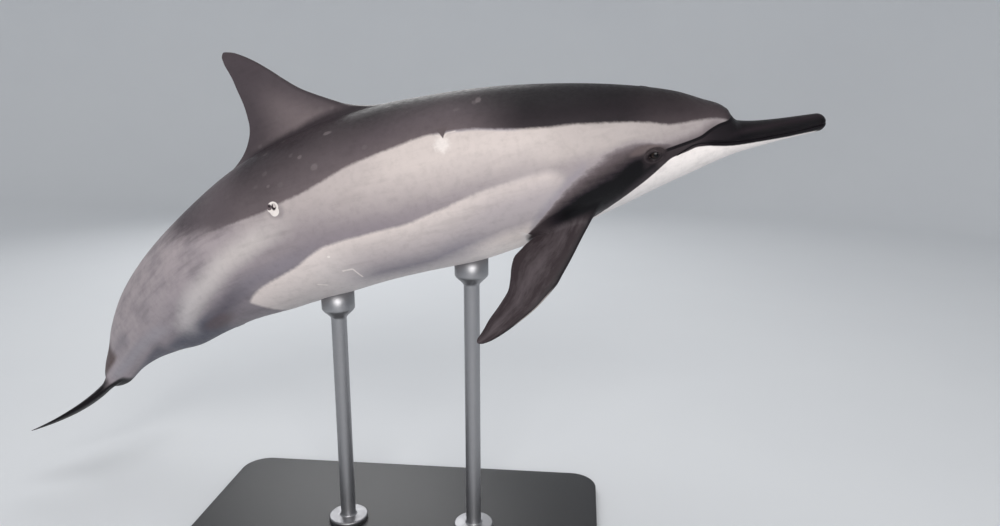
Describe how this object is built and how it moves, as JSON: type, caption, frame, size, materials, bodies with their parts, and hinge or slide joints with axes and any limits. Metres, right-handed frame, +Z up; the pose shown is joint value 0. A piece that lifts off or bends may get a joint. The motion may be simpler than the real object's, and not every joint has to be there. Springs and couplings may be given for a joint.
{
  "type": "spinner dolphin model",
  "caption": "Life-size still model of a spinner dolphin gliding in a gentle turn, beak raised and tail bent down and aside, on a flat base with short rods.",
  "frame": {"origin": "centre of the flat underside of the stand's base", "axes": "+X towards the beak, +Y towards the animal's left, +Z up"},
  "size_m": [1.7928, 0.654, 1.0123],
  "materials": {
    "skin": "smooth wet skin: dark grey back, pale grey flank, white belly, black beak and eye stripe",
    "eye": "wet and glossy, near black",
    "stand_base": "satin black paint on steel plate",
    "stand_rod": "brushed stainless steel"
  },
  "bodies": {
    "root": {"upper_beak": "skin", "lower_jaw": "skin", "head": "skin", "trunk_front": "skin", "trunk_rear": "skin", "tail_stock": "skin", "dorsal_fin": "skin", "flipper_left": "skin", "flipper_right": "skin", "fluke_left": "skin", "fluke_right": "skin", "eye_left": "eye", "eye_right": "eye", "stand_base": "stand_base", "stand_rod_front": "stand_rod", "stand_rod_rear": "stand_rod"}
  },
  "joints": []
}
